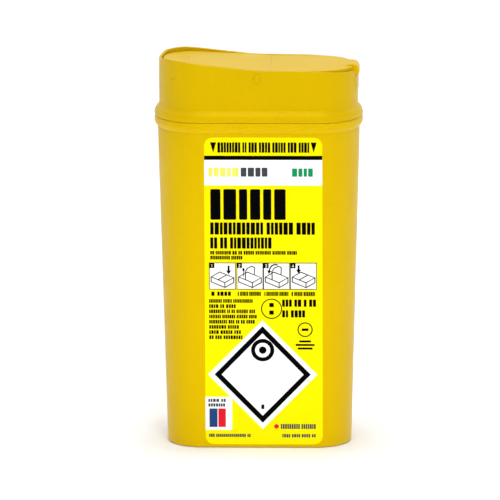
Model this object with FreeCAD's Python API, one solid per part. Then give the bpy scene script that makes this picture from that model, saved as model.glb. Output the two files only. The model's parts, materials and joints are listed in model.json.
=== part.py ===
"""Small sharps container: a tapered tub, a snapped-on lid and a press-to-open closure.

Millimetres. +Z up, +X to the right seen from the front, the front faces -Y.
The origin is the centre of the base, on the surface that it stands on.
Every horizontal section is a stadium: two straight sides joined by half-round ends.
All walls share the same end centres, so one side profile makes each whole shell.
"""

import FreeCAD, Part
import math
import os

from FreeCAD import Vector

# ---- plan ----
HALF_STRAIGHT = 22.5        # from the centre to each end's centre of curvature
WALL = 1.2                  # general wall thickness
OVERLAP = 0.3               # how far pieces of one moulding run into each other
CLOSE = 0.01                # for telling edges apart
FAR = 60.0                  # past the object on every side, for cutting blocks
LID_LOW = 120.0             # heights below and above everything in the lid
LID_HIGH = 170.0

# ---- tub ----
BASE_RADIUS = 13.95          # half depth just above the foot
FOOT_FILLET = 1.2
FOOT_RING_INNER = 10.4
FOOT_RECESS = 0.5
FLOOR_TOP = 1.6
FLOOR_FILLET = 1.5
COLLAR_START_Z = 128.2      # where the side wall starts to flare
COLLAR_START_RADIUS = 17.28
COLLAR_RADIUS = 18.45
COLLAR_BULGE = Vector(0.95, 0, 1.3)     # from the start of the flare to its middle
COLLAR_EDGE = 0.5           # height of the small bevel on the collar's top edge
PART_LINE_Z = 132.5         # the joint seen under the lid's bead
PART_LINE_GAP = 0.15
NECK_RADIUS = 16.8
NECK_TOP = 135.7
SNAP_RIB_RADIUS = 17.2
SNAP_RIB_DROP = 1.6         # from the neck's top to the rib's lower corner
SNAP_RIB_FLAT = 0.5

# ---- lid ----
BEAD_RADIUS = 18.55
BEAD_WIDEST_Z = 133.3
BEAD_TOP = 136.9
BEAD_BULGE = Vector(-0.56, 0, 2.05)     # from the bead's widest line to its upper middle
BEAD_BLEND = 0.3            # fillet between the bead and the wall
LID_RADIUS = 16.64
LID_INNER_RADIUS = LID_RADIUS - WALL
LID_BLANK_TOP = 160.5       # the side wall before its rim is shaped
PLUG_OUTER = 15.4           # the skirt that plugs the tub's mouth
PLUG_INNER = 14.4
PLUG_BOTTOM = 132.8
PLUG_TOP = 138.8
CHANNEL_RADIUS = 16.92      # inside of the bead, round the tub's neck
GROOVE_RADIUS = 17.35
GROOVE_DROP = 1.3           # from the neck's top to the groove's middle
GROOVE_HALF = 0.5
PLUG_LEAD_IN = 0.8          # height of the taper at the skirt's lower edge
NECK_CLEARANCE = 0.15

# ---- rim of the lid, seen from the side ----
RIM_LEFT_Z = 156.4          # plateau round the flap's free end
RIM_LEFT_X = -32.0          # end of that plateau
RIM_SHOULDER_X = -26.5
RIM_SHOULDER_Z = 155.9
RIM_KNEE_X = -1.5
RIM_KNEE_Z = 153.1
RIM_KNEE_REACH = 4.0        # how far the knee's curve runs each way
RIM_FLAT_X = 19.0
RIM_FLAT_Z = 152.85
RIM_RIGHT_X = 33.0
RIM_RIGHT_Z = 151.65
RIM_TIP_Z = 150.9
RIM_END_X = 50.0            # the last slope carries on to here, past the end wall
RIM_END_Z = 149.6
RIM_ROUND = 0.3
THUMB_NOTCH_Z = 155.1
THUMB_NOTCH_RADIUS = 25.0

# ---- closure ----
PIVOT_X = -0.3
PIVOT_Z = 149.8
AXLE_RADIUS = 1.1
AXLE_CLEARANCE = 0.05
AXLE_LENGTH = 1.1
SOCKET_DEPTH = 1.3
PIP_RADIUS = 1.75
PIP_HEIGHT = 0.95
CHEEK_RADIUS = 2.7
CHEEK_THICKNESS = 1.5
SIDE_GAP = 0.15             # between the closure's edge and the lid's wall
TIP_GAP = 0.55              # the same at the flap's free end
CLOSURE_THICKNESS = 1.3
CREASE_X = 4.2              # rear edge of the flap
CREASE_Z = 152.85
FLAP_SLOPE = math.tan(math.radians(3.2))
PAD_SWING_GAP = 0.3
PAD_END_X = 19.9
PAD_RIB_DEPTH = 0.7
PAD_RIB_START_X = 8.2
PAD_RIB_END_X = 17.9
PAD_BEAD_INSET = 1.0        # the hinge bead stops this far from each side
PLATE_START_X = 20.9
PLATE_Z = 152.8
HINGE_BEAD_X = 20.4         # round bead along the thin hinge between pad and plate
HINGE_BEAD_Z = 151.6
HINGE_BEAD_RADIUS = 0.55
HINGE_BEAD_CLEARANCE = 0.06
EDGE_ROUND = 0.3
LIP_START_DEG = 5.0         # how far below the flap's rear edge its curved lip begins
LIP_SWEEP_DEG = 52.0        # how far the flap's curved rear lip goes below the pivot
LIP_THICKNESS = 1.1
SKIRT_INSET = 1.6
SKIRT_THICKNESS = 1.0
SKIRT_DEPTH = 2.0
SKIRT_START_X = -8.0
THUMB_STEP_X = -26.9
THUMB_STEP_DEPTH = 0.75
THUMB_STEP_RADIUS = 16.0
TONGUE_X = -34.1            # free face of the locking tongue under the flap
TONGUE_THICKNESS = 1.0
TONGUE_HALF = 4.0
TONGUE_REACH = 1.2          # how far it goes below the skirt
ROOT_DEPTH = 0.6            # how far skirts and ribs run up into their plates

LOCK_DIMPLE_X = -33.4       # dimples that the flap's final lock snaps behind
LOCK_DIMPLE_RADIUS = 3.0
LOCK_DIMPLE_DEPTH = 0.3

# ---- deck inside the lid ----
DECK_TOP = 147.8
DECK_THICKNESS = 1.1
APERTURE_LEFT = -31.5
APERTURE_RIGHT = -10.5
APERTURE_HALF = 8.6
APERTURE_CORNER = 5.0
APERTURE_COLLAR_HEIGHT = 1.1
APERTURE_COLLAR_WALL = 1.0
SLOT_WIDTH = 3.2            # needle-removal slot, wide end
SLOT_NARROW = 1.4
SLOT_LENGTH = 5.5
TROUGH_RADIUS = 6.3
TROUGH_WALL = 1.0
TROUGH_HALF_WIDTH = 12.0
LEDGE_TOP = 148.5
LEDGE_WIDTH = 2.4
LEDGE_CLEARANCE = 0.05      # between the ledge and the plate's skirt

# ---- tab over the right-hand end wall ----
TAB_HALF = 5.0
TAB_ROOT = 4.2              # how far the tab runs in under the plate
TAB_RISE = 0.5              # its top stands this far above the plate
TAB_RAMP_X = 35.6           # where the rise is complete
TAB_CREST_ROUND = 3.0
TAB_GAP = 0.15
TAB_NOSE_X = 39.7
TAB_BOTTOM = 149.3
TAB_TOP_ROUND = 2.5
TAB_BOTTOM_ROUND = 0.9
TAB_SIDE_ROUND = 0.4
END_PANEL_HALF = 6.0
END_PANEL_BOTTOM = 143.4
END_PANEL_PROUD = 0.2

# ---- labels ----
LABEL_THICKNESS = 0.1
FRONT_LABEL = {"centre_x": 2.1, "width": 46.4, "bottom": 1.5, "top": 126.6, "corner": 3.5}
BACK_LABEL = {"centre_x": 0.0, "width": 44.0, "bottom": 43.0, "top": 107.0, "corner": 3.0}


def line(a, b):
    return Part.LineSegment(a, b).toShape()


def arc(a, through, b):
    return Part.Arc(a, through, b).toShape()


def polygon(points):
    """Closed straight-edged wire through the points."""
    return Part.makePolygon(list(points) + [points[0]])


def profile_face(edges):
    return Part.Face(Part.Wire(edges))


def box(x0, x1, y0, y1, z0, z1):
    return Part.makeBox(x1 - x0, y1 - y0, z1 - z0, Vector(x0, y0, z0))


def lid_zone(x0, x1, y0=-FAR, y1=FAR):
    """Tall block that takes in everything in the lid between two X and two Y planes."""
    return box(x0, x1, y0, y1, LID_LOW, LID_HIGH)


def both_sides(near, far):
    """The Y span from near to far on the front side, then on the back side."""
    return ((-far, -near), (near, far))


def cylinder_y(radius, x, z, y0, y1):
    """Round bar along Y."""
    return Part.makeCylinder(radius, y1 - y0, Vector(x, y0, z), Vector(0, 1, 0))


def ends_and_middle(edge):
    first, last = edge.FirstParameter, edge.LastParameter
    return [edge.valueAt(t) for t in (first, (first + last) / 2, last)]


def stadium_shell(face):
    """Carries a face drawn in the XZ plane, with X as the half depth, round the stadium plan."""
    up = Vector(0, 0, 1)
    right = face.copy()
    right.rotate(Vector(0, 0, 0), up, -90)
    right.translate(Vector(HALF_STRAIGHT, 0, 0))
    right_end = right.revolve(Vector(HALF_STRAIGHT, 0, 0), up, 180)
    left = face.copy()
    left.rotate(Vector(0, 0, 0), up, 90)
    left.translate(Vector(-HALF_STRAIGHT, 0, 0))
    left_end = left.revolve(Vector(-HALF_STRAIGHT, 0, 0), up, 180)
    run = Vector(-2 * HALF_STRAIGHT, 0, 0)
    front_side = right.extrude(run)
    back = face.copy()
    back.rotate(Vector(0, 0, 0), up, 90)
    back.translate(Vector(HALF_STRAIGHT, 0, 0))
    back_side = back.extrude(run)
    return right_end.fuse([left_end, front_side, back_side]).removeSplitter()


def stadium_block(radius, z0, z1):
    """Solid stadium of one radius."""
    corners = [Vector(0, 0, z0), Vector(radius, 0, z0), Vector(radius, 0, z1), Vector(0, 0, z1)]
    return stadium_shell(Part.Face(polygon(corners)))


def stadium_ring(outer, inner, z0, z1):
    corners = [Vector(inner, 0, z0), Vector(outer, 0, z0), Vector(outer, 0, z1), Vector(inner, 0, z1)]
    return stadium_shell(Part.Face(polygon(corners)))


def wall_radius(z):
    """Half depth of the tub's outside between its foot and its collar."""
    share = (z - FOOT_FILLET) / (COLLAR_START_Z - FOOT_FILLET)
    return BASE_RADIUS + share * (COLLAR_START_RADIUS - BASE_RADIUS)


def container_base():
    """Tub: foot ring, tapered wall, rounded collar and the neck that the lid snaps over."""
    diagonal = math.sqrt(0.5)
    foot_centre = Vector(BASE_RADIUS - FOOT_FILLET, 0, FOOT_FILLET)
    floor_radius = wall_radius(FLOOR_TOP + FLOOR_FILLET) - WALL
    floor_centre = Vector(floor_radius - FLOOR_FILLET, 0, FLOOR_TOP + FLOOR_FILLET)
    shoulder_z = PART_LINE_Z - PART_LINE_GAP
    collar_edge_z = shoulder_z - COLLAR_EDGE
    bevel = COLLAR_EDGE / 2
    rib_z = NECK_TOP - SNAP_RIB_DROP
    rib_rise = SNAP_RIB_RADIUS - NECK_RADIUS
    neck_inner = NECK_RADIUS - WALL
    wall_inner = COLLAR_START_RADIUS - WALL
    p = [
        Vector(0, 0, FOOT_RECESS),
        Vector(FOOT_RING_INNER - FOOT_RECESS, 0, FOOT_RECESS),
        Vector(FOOT_RING_INNER, 0, 0),
        Vector(foot_centre.x, 0, 0),
    ]
    edges = [line(p[0], p[1]), line(p[1], p[2]), line(p[2], p[3])]
    foot_mid = foot_centre + Vector(FOOT_FILLET * diagonal, 0, -FOOT_FILLET * diagonal)
    foot_end = Vector(BASE_RADIUS, 0, FOOT_FILLET)
    edges.append(arc(p[3], foot_mid, foot_end))
    collar_start = Vector(COLLAR_START_RADIUS, 0, COLLAR_START_Z)
    edges.append(line(foot_end, collar_start))
    collar_mid = collar_start + COLLAR_BULGE
    collar_end = Vector(COLLAR_RADIUS, 0, collar_edge_z)
    edges.append(arc(collar_start, collar_mid, collar_end))
    inner_floor = Vector(floor_radius, 0, floor_centre.z)
    outline = [
        collar_end,
        Vector(COLLAR_RADIUS - bevel, 0, shoulder_z),
        Vector(NECK_RADIUS, 0, shoulder_z),
        Vector(NECK_RADIUS, 0, rib_z - rib_rise),
        Vector(SNAP_RIB_RADIUS, 0, rib_z),
        Vector(SNAP_RIB_RADIUS, 0, rib_z + SNAP_RIB_FLAT),
        Vector(NECK_RADIUS, 0, NECK_TOP - bevel),
        Vector(NECK_RADIUS - bevel, 0, NECK_TOP),
        Vector(neck_inner, 0, NECK_TOP),
        Vector(wall_inner, 0, COLLAR_START_Z),
        inner_floor,
    ]
    edges += [line(a, b) for a, b in zip(outline, outline[1:])]
    floor_mid = floor_centre + Vector(FLOOR_FILLET * diagonal, 0, -FLOOR_FILLET * diagonal)
    floor_end = Vector(floor_centre.x, 0, FLOOR_TOP)
    edges.append(arc(inner_floor, floor_mid, floor_end))
    middle = Vector(0, 0, FLOOR_TOP)
    edges.append(line(floor_end, middle))
    edges.append(line(middle, p[0]))
    return stadium_shell(profile_face(edges))


def lid_shell():
    """Lid wall, bead with its snap groove, and the plug skirt."""
    bottom_inner = Vector(CHANNEL_RADIUS, 0, PART_LINE_Z)
    bottom_outer = Vector(BEAD_RADIUS - 0.2, 0, PART_LINE_Z)
    widest = Vector(BEAD_RADIUS, 0, BEAD_WIDEST_Z)
    under_bead = (bottom_outer + widest) * 0.5 + Vector(0.04, 0, -0.05)
    bead_end = Vector(LID_RADIUS + BEAD_BLEND, 0, BEAD_TOP - BEAD_BLEND)
    blend_mid = Vector(LID_RADIUS + BEAD_BLEND * 0.3, 0, BEAD_TOP)
    wall_start = Vector(LID_RADIUS, 0, BEAD_TOP + BEAD_BLEND)
    groove_z = NECK_TOP - GROOVE_DROP
    groove_rise = GROOVE_RADIUS - CHANNEL_RADIUS
    channel_top = NECK_TOP + NECK_CLEARANCE
    lead_in = PLUG_LEAD_IN / 2
    edges = [
        line(bottom_inner, bottom_outer),
        arc(bottom_outer, under_bead, widest),
        arc(widest, widest + BEAD_BULGE, bead_end),
        arc(bead_end, blend_mid, wall_start),
    ]
    outline = [
        wall_start,
        Vector(LID_RADIUS, 0, LID_BLANK_TOP),
        Vector(LID_INNER_RADIUS, 0, LID_BLANK_TOP),
        Vector(LID_INNER_RADIUS, 0, PLUG_TOP + LID_INNER_RADIUS - PLUG_INNER),
        Vector(PLUG_INNER, 0, PLUG_TOP),
        Vector(PLUG_INNER, 0, PLUG_BOTTOM + lead_in),
        Vector(PLUG_INNER + lead_in, 0, PLUG_BOTTOM),
        Vector(PLUG_OUTER - lead_in, 0, PLUG_BOTTOM),
        Vector(PLUG_OUTER, 0, PLUG_BOTTOM + PLUG_LEAD_IN),
        Vector(PLUG_OUTER, 0, channel_top),
        Vector(CHANNEL_RADIUS, 0, channel_top),
        Vector(CHANNEL_RADIUS, 0, groove_z + GROOVE_HALF + groove_rise),
        Vector(GROOVE_RADIUS, 0, groove_z + GROOVE_HALF),
        Vector(GROOVE_RADIUS, 0, groove_z - GROOVE_HALF),
        Vector(CHANNEL_RADIUS, 0, groove_z - GROOVE_HALF - groove_rise),
        bottom_inner,
    ]
    edges += [line(a, b) for a, b in zip(outline, outline[1:])]
    return stadium_shell(profile_face(edges))


def above_rim():
    """Everything above the rim's side-view curve."""
    slope = (RIM_SHOULDER_Z - RIM_KNEE_Z) / (RIM_KNEE_X - RIM_SHOULDER_X)
    far_left = Vector(-FAR, -FAR, RIM_LEFT_Z)
    plateau = Vector(RIM_LEFT_X, -FAR, RIM_LEFT_Z)
    shoulder = Vector(RIM_SHOULDER_X, -FAR, RIM_SHOULDER_Z)
    knee = Vector(RIM_KNEE_X, -FAR, RIM_KNEE_Z)
    flat = Vector(RIM_FLAT_X, -FAR, RIM_FLAT_Z)
    right = Vector(RIM_RIGHT_X, -FAR, RIM_RIGHT_Z)
    far_right = Vector(RIM_END_X, -FAR, RIM_END_Z)
    knee_in = knee + Vector(-RIM_KNEE_REACH, 0, RIM_KNEE_REACH * slope)
    knee_out = knee + Vector(RIM_KNEE_REACH, 0, -0.03)
    edges = [
        line(far_left, plateau),
        arc(plateau, (plateau + shoulder) * 0.5 + Vector(0.2, 0, 0.08), shoulder),
        line(shoulder, knee_in),
        arc(knee_in, knee + Vector(0.1, 0, 0.1), knee_out),
        line(knee_out, flat),
        arc(flat, (flat + right) * 0.5 + Vector(0.2, 0, 0.17), right),
        line(right, far_right),
    ]
    corners = [
        far_right,
        Vector(RIM_END_X, -FAR, LID_HIGH),
        Vector(-FAR, -FAR, LID_HIGH),
        far_left,
    ]
    edges += [line(a, b) for a, b in zip(corners, corners[1:])]
    return profile_face(edges).extrude(Vector(0, 2 * FAR, 0))


def rounded_rectangle(x0, x1, y0, y1, z, radius):
    """Horizontal face with rounded corners."""
    blank = box(x0, x1, y0, y1, z, z + 1)
    upright = [e for e in blank.Edges if abs(e.tangentAt(e.FirstParameter).z) > 0.9]
    rounded = blank.makeFillet(radius, upright)
    return [f for f in rounded.Faces if f.CenterOfMass.z < z + CLOSE][0]


def deck():
    """Floor inside the lid: aperture with its collar and needle slot, and the hinge trough."""
    z0 = DECK_TOP - DECK_THICKNESS
    half = LID_INNER_RADIUS + OVERLAP
    plate = stadium_block(half, z0, DECK_TOP)
    outer = cylinder_y(TROUGH_RADIUS + TROUGH_WALL, PIVOT_X, PIVOT_Z, -half, half)
    below_deck = box(-TROUGH_HALF_WIDTH, TROUGH_HALF_WIDTH, -half, half, LID_LOW, DECK_TOP)
    plate = plate.fuse(outer.common(below_deck))
    plate = plate.cut(cylinder_y(TROUGH_RADIUS, PIVOT_X, PIVOT_Z, -half, half))
    inside = (APERTURE_LEFT, APERTURE_RIGHT, -APERTURE_HALF, APERTURE_HALF)
    grow = APERTURE_COLLAR_WALL
    outside = (inside[0] - grow, inside[1] + grow, inside[2] - grow, inside[3] + grow)
    rise = Vector(0, 0, DECK_THICKNESS + APERTURE_COLLAR_HEIGHT)
    through = Vector(0, 0, 8 * DECK_THICKNESS)
    collar = rounded_rectangle(*outside, z0, APERTURE_CORNER + grow).extrude(rise)
    hole = rounded_rectangle(*inside, z0 - DECK_THICKNESS, APERTURE_CORNER).extrude(through)
    slot_x = APERTURE_RIGHT - APERTURE_CORNER - 1
    slot_start = 1 - APERTURE_HALF
    slot_end = slot_start - SLOT_LENGTH
    slot = polygon([
        Vector(slot_x - SLOT_WIDTH / 2, slot_start, z0 - DECK_THICKNESS),
        Vector(slot_x + SLOT_WIDTH / 2, slot_start, z0 - DECK_THICKNESS),
        Vector(slot_x + SLOT_NARROW / 2, slot_end, z0 - DECK_THICKNESS),
        Vector(slot_x - SLOT_NARROW / 2, slot_end, z0 - DECK_THICKNESS),
    ])
    return plate.fuse(collar).cut(hole).cut(Part.Face(slot).extrude(through))


def plate_ledge():
    """Crescent ledge that the fixed top plate rests on."""
    inner = LID_INNER_RADIUS - LEDGE_WIDTH
    ring = stadium_ring(LID_INNER_RADIUS + OVERLAP, inner, DECK_TOP - OVERLAP, LEDGE_TOP)
    return ring.common(lid_zone(PLATE_START_X, FAR))


def pips():
    """Domes on the outside of both side walls, over the axle sockets."""
    ball_radius = (PIP_RADIUS ** 2 + PIP_HEIGHT ** 2) / (2 * PIP_HEIGHT)
    reach = LID_RADIUS + PIP_HEIGHT
    shapes = []
    for side in (-1, 1):
        centre = Vector(PIVOT_X, side * (reach - ball_radius), PIVOT_Z)
        shapes.append(Part.makeSphere(ball_radius, centre))
    spans = both_sides(LID_RADIUS - OVERLAP, FAR)
    return [ball.common(lid_zone(-FAR, FAR, *span)) for ball, span in zip(shapes, spans)]


def axle_sockets():
    radius = AXLE_RADIUS + AXLE_CLEARANCE
    spans = both_sides(LID_INNER_RADIUS - OVERLAP, LID_INNER_RADIUS + SOCKET_DEPTH)
    return [cylinder_y(radius, PIVOT_X, PIVOT_Z, *span) for span in spans]


def lock_dimples():
    """Shallow round dents in the left-hand end wall, one towards each side."""
    along = LOCK_DIMPLE_X + HALF_STRAIGHT
    across = math.sqrt(LID_RADIUS ** 2 - along ** 2)
    reach = (LID_RADIUS + LOCK_DIMPLE_RADIUS - LOCK_DIMPLE_DEPTH) / LID_RADIUS
    shapes = []
    for side in (-1, 1):
        centre = Vector(along * reach - HALF_STRAIGHT, side * across * reach, PIVOT_Z)
        shapes.append(Part.makeSphere(LOCK_DIMPLE_RADIUS, centre))
    return shapes


def end_panel():
    """Shallow raised panel on the right-hand end wall, below the tab."""
    outer = LID_RADIUS + END_PANEL_PROUD
    skin = stadium_ring(outer, LID_RADIUS - OVERLAP, END_PANEL_BOTTOM, TAB_BOTTOM - TAB_GAP)
    return skin.common(lid_zone(0, FAR, -END_PANEL_HALF, END_PANEL_HALF))


def lid():
    shape = lid_shell().cut(above_rim())
    notch_z = THUMB_NOTCH_Z + THUMB_NOTCH_RADIUS
    notch_start = Vector(-FAR, 0, notch_z)
    notch = Part.makeCylinder(THUMB_NOTCH_RADIUS, FAR - HALF_STRAIGHT, notch_start, Vector(1, 0, 0))
    shape = shape.cut(notch)
    shape = shape.makeFillet(RIM_ROUND, [e for e in shape.Edges if is_rim_edge(e)])
    shape = shape.fuse([deck(), plate_ledge(), end_panel()] + pips())
    shape = shape.cut(axle_sockets() + lock_dimples())
    half = TAB_HALF + TAB_GAP
    tab_slot = box(HALF_STRAIGHT + PLUG_INNER - TAB_ROOT, FAR, -half, half, TAB_BOTTOM - TAB_GAP, LID_HIGH)
    return shape.cut(tab_slot).removeSplitter()


def is_rim_edge(edge):
    """True for the edges that run along the top of the lid's wall."""
    spots = ends_and_middle(edge)
    high = all(p.z > RIM_TIP_Z - 1 for p in spots)
    radii = [math.hypot(max(abs(p.x) - HALF_STRAIGHT, 0), p.y) for p in spots]
    on_outside = all(abs(r - LID_RADIUS) < CLOSE for r in radii)
    on_inside = all(abs(r - LID_INNER_RADIUS) < CLOSE for r in radii)
    return high and (on_outside or on_inside)


def flap_top(x):
    """Height of the flap's upper face."""
    return CREASE_Z + (CREASE_X - x) * FLAP_SLOPE


def sloped_slab(x0, x1, drop_top, drop_bottom, half):
    """Slab between two planes parallel to the flap's upper face."""
    corners = [
        Vector(x0, -half, flap_top(x0) - drop_bottom),
        Vector(x1, -half, flap_top(x1) - drop_bottom),
        Vector(x1, -half, flap_top(x1) - drop_top),
        Vector(x0, -half, flap_top(x0) - drop_top),
    ]
    return Part.Face(polygon(corners)).extrude(Vector(0, 2 * half, 0))


def flap_plan(inset):
    """Tall block with the flap's plan: half-round free end and straight sides."""
    block = stadium_block(LID_INNER_RADIUS - SIDE_GAP - inset, LID_LOW, LID_HIGH)
    block.translate(Vector(TIP_GAP - SIDE_GAP, 0, 0))
    return block.common(lid_zone(-FAR, CREASE_X + 1))


def rear_lip():
    """Curved lip round the pivot that keeps the gap behind the flap shut."""
    half = LID_INNER_RADIUS - SIDE_GAP
    radius = math.hypot(CREASE_X - PIVOT_X, CREASE_Z - PIVOT_Z)
    ring = cylinder_y(radius, PIVOT_X, PIVOT_Z, -half, half)
    ring = ring.cut(cylinder_y(radius - LIP_THICKNESS, PIVOT_X, PIVOT_Z, -half, half))
    start = math.degrees(math.atan2(CREASE_Z - PIVOT_Z, CREASE_X - PIVOT_X)) - LIP_START_DEG
    reach = 3 * radius
    wedge = [Vector(PIVOT_X, -half, PIVOT_Z)]
    for angle in (start, (start - LIP_SWEEP_DEG) / 2, -LIP_SWEEP_DEG):
        turn = math.radians(angle)
        wedge.append(Vector(PIVOT_X + reach * math.cos(turn), -half, PIVOT_Z + reach * math.sin(turn)))
    return ring.common(Part.Face(polygon(wedge)).extrude(Vector(0, 2 * half, 0)))


def closure_flap():
    """Flap with its stub axles, stiffening skirt, lock tongue, rear lip and thumb step."""
    half = LID_INNER_RADIUS - SIDE_GAP
    plate = flap_plan(0).common(sloped_slab(-FAR, CREASE_X, 0, CLOSURE_THICKNESS, FAR))
    plate = plate.makeFillet(EDGE_ROUND, [e for e in plate.Edges if lies_on_flap_top(e)])
    depth = CLOSURE_THICKNESS + SKIRT_DEPTH
    skirt = flap_plan(SKIRT_INSET).cut(flap_plan(SKIRT_INSET + SKIRT_THICKNESS))
    skirt = skirt.common(sloped_slab(-FAR, SKIRT_START_X, ROOT_DEPTH, depth, FAR))
    rib_start = SKIRT_START_X - SKIRT_THICKNESS
    cross_rib = sloped_slab(rib_start, SKIRT_START_X, ROOT_DEPTH, depth, half - SKIRT_INSET)
    tongue_end = TONGUE_X + TONGUE_THICKNESS
    tongue = sloped_slab(TONGUE_X, tongue_end, ROOT_DEPTH, depth + TONGUE_REACH, TONGUE_HALF)
    pieces = [skirt, cross_rib, tongue, rear_lip()]
    web = sloped_slab(PIVOT_X - CHEEK_RADIUS, PIVOT_X + CHEEK_RADIUS, ROOT_DEPTH, CHEEK_RADIUS, FAR)
    for span in both_sides(half - CHEEK_THICKNESS, half):
        pieces.append(cylinder_y(CHEEK_RADIUS, PIVOT_X, PIVOT_Z, *span))
        pieces.append(web.common(lid_zone(-FAR, FAR, *span)))
    for span in both_sides(half - CHEEK_THICKNESS, half + AXLE_LENGTH):
        pieces.append(cylinder_y(AXLE_RADIUS, PIVOT_X, PIVOT_Z, *span))
    ball_z = flap_top(THUMB_STEP_X) - THUMB_STEP_DEPTH + THUMB_STEP_RADIUS
    ball_centre = Vector(THUMB_STEP_X, 0, ball_z)
    scoop = Part.makeSphere(THUMB_STEP_RADIUS, ball_centre, Vector(0, 1, 0))
    scoop = scoop.common(lid_zone(-FAR, THUMB_STEP_X))
    return plate.fuse(pieces).cut(scoop).removeSplitter()


def lies_on_flap_top(edge):
    """True for an edge whose ends and middle are on the flap's upper plane."""
    return all(abs(p.z - flap_top(p.x)) < CLOSE for p in ends_and_middle(edge))


def press_pad():
    """Pad between the flap and the fixed plate, hollow below, with its front edge round the flap's lip."""
    half = LID_INNER_RADIUS - SIDE_GAP
    z0 = PLATE_Z - CLOSURE_THICKNESS
    swing = math.hypot(CREASE_X - PIVOT_X, CREASE_Z - PIVOT_Z) + PAD_SWING_GAP
    plate = box(CREASE_X, PAD_END_X, -half, half, z0, PLATE_Z)
    plate = plate.cut(cylinder_y(swing, PIVOT_X, PIVOT_Z, -FAR, FAR))
    plate = plate.makeFillet(EDGE_ROUND, [e for e in plate.Edges if is_plate_top_edge(e)])
    rib_foot = z0 - PAD_RIB_DEPTH
    rib_root = PLATE_Z - ROOT_DEPTH
    ribs = []
    for span in both_sides(half - SKIRT_INSET - SKIRT_THICKNESS, half - SKIRT_INSET):
        ribs.append(box(PAD_RIB_START_X, PAD_RIB_END_X, *span, rib_foot, rib_root))
    bead_half = half - PAD_BEAD_INSET
    bead = cylinder_y(HINGE_BEAD_RADIUS, HINGE_BEAD_X, HINGE_BEAD_Z, -bead_half, bead_half)
    return plate.fuse(ribs + [bead]).removeSplitter()


def top_plate():
    """Fixed plate: clipped down inside the lid's wall, with a tab rolled over the end wall."""
    outer = LID_INNER_RADIUS - SIDE_GAP
    z0 = PLATE_Z - CLOSURE_THICKNESS
    plate = stadium_block(outer, z0, PLATE_Z).common(lid_zone(PLATE_START_X, FAR))
    plate = plate.makeFillet(EDGE_ROUND, [e for e in plate.Edges if is_plate_top_edge(e)])
    foot = LEDGE_TOP + LEDGE_CLEARANCE
    skirt = stadium_ring(outer - LEDGE_CLEARANCE, outer - SKIRT_THICKNESS, foot, z0 + ROOT_DEPTH)
    skirt = skirt.common(lid_zone(PLATE_START_X + SKIRT_THICKNESS, FAR))
    tab_root = HALF_STRAIGHT + outer - TAB_ROOT
    tab_top = PLATE_Z + TAB_RISE
    side = polygon([
        Vector(tab_root, -TAB_HALF, TAB_BOTTOM),
        Vector(TAB_NOSE_X, -TAB_HALF, TAB_BOTTOM),
        Vector(TAB_NOSE_X, -TAB_HALF, tab_top),
        Vector(TAB_RAMP_X, -TAB_HALF, tab_top),
        Vector(tab_root, -TAB_HALF, PLATE_Z),
    ])
    tab = Part.Face(side).extrude(Vector(0, 2 * TAB_HALF, 0))
    tab = tab.makeFillet(TAB_CREST_ROUND, [e for e in tab.Edges if is_crest_edge(e, tab_top)])
    tab = tab.makeFillet(TAB_TOP_ROUND, [e for e in tab.Edges if is_nose_edge(e, tab_top)])
    tab = tab.makeFillet(TAB_BOTTOM_ROUND, [e for e in tab.Edges if is_nose_edge(e, TAB_BOTTOM)])
    tab = tab.makeFillet(TAB_SIDE_ROUND, [e for e in tab.Edges if is_tab_side(e)])
    seat_radius = HINGE_BEAD_RADIUS + HINGE_BEAD_CLEARANCE
    seat = cylinder_y(seat_radius, HINGE_BEAD_X, HINGE_BEAD_Z, -FAR, FAR)
    return plate.fuse([skirt, tab]).cut(seat).removeSplitter()


def is_plate_top_edge(edge):
    """True for an edge round the upper face of the pad or the fixed plate."""
    return all(abs(v.Point.z - PLATE_Z) < CLOSE for v in edge.Vertexes)


def is_crest_edge(edge, z):
    """True for the straight edge across the tab where its ramp ends."""
    return all(abs(v.Point.z - z) < CLOSE and abs(v.Point.x - TAB_RAMP_X) < CLOSE for v in edge.Vertexes)


def is_nose_edge(edge, z):
    """True for the straight edge across the tab's nose at one height."""
    spots = [v.Point for v in edge.Vertexes]
    return all(abs(p.z - z) < CLOSE and p.x > TAB_NOSE_X - CLOSE for p in spots)


def is_tab_side(edge):
    """True for the upper, ramp and nose edges at the two sides of the tab."""
    spots = [v.Point for v in edge.Vertexes]
    at_side = all(abs(abs(p.y) - TAB_HALF) < CLOSE for p in spots)
    above = any(p.z > TAB_BOTTOM + CLOSE for p in spots)
    beyond = any(p.x > TAB_RAMP_X - 1 for p in spots)
    return at_side and above and beyond


def label(side, place):
    """Film that follows the tub's wall: side -1 is the front, +1 the back."""
    z0, z1 = place["bottom"] - OVERLAP, place["top"] + OVERLAP
    corners = [
        Vector(wall_radius(z0), 0, z0),
        Vector(wall_radius(z0) + LABEL_THICKNESS, 0, z0),
        Vector(wall_radius(z1) + LABEL_THICKNESS, 0, z1),
        Vector(wall_radius(z1), 0, z1),
    ]
    skin = stadium_shell(Part.Face(polygon(corners)))
    x0 = place["centre_x"] - place["width"] / 2
    x1 = place["centre_x"] + place["width"] / 2
    y0, y1 = min(0, side * FAR), max(0, side * FAR)
    blank = box(x0, x1, y0, y1, place["bottom"], place["top"])
    across = [e for e in blank.Edges if abs(e.tangentAt(e.FirstParameter).y) > 0.9]
    return skin.common(blank.makeFillet(place["corner"], across))


PARTS = {
    "container_base": container_base,
    "lid": lid,
    "closure_flap": closure_flap,
    "press_pad": press_pad,
    "top_plate": top_plate,
    "front_label": lambda: label(-1, FRONT_LABEL),
    "back_label": lambda: label(1, BACK_LABEL),
}

os.makedirs("parts", exist_ok=True)
for name, make in PARTS.items():
    shape = make()
    solids = shape.Solids
    if len(solids) != 1 or not shape.isValid():
        raise ValueError(f"{name}: {len(solids)} solids, valid {shape.isValid()}")
    solids[0].exportStep(f"parts/{name}.step")
    print(f"{name}: {solids[0].Volume:.1f} mm3")
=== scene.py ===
import json
import math
import random

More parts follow.
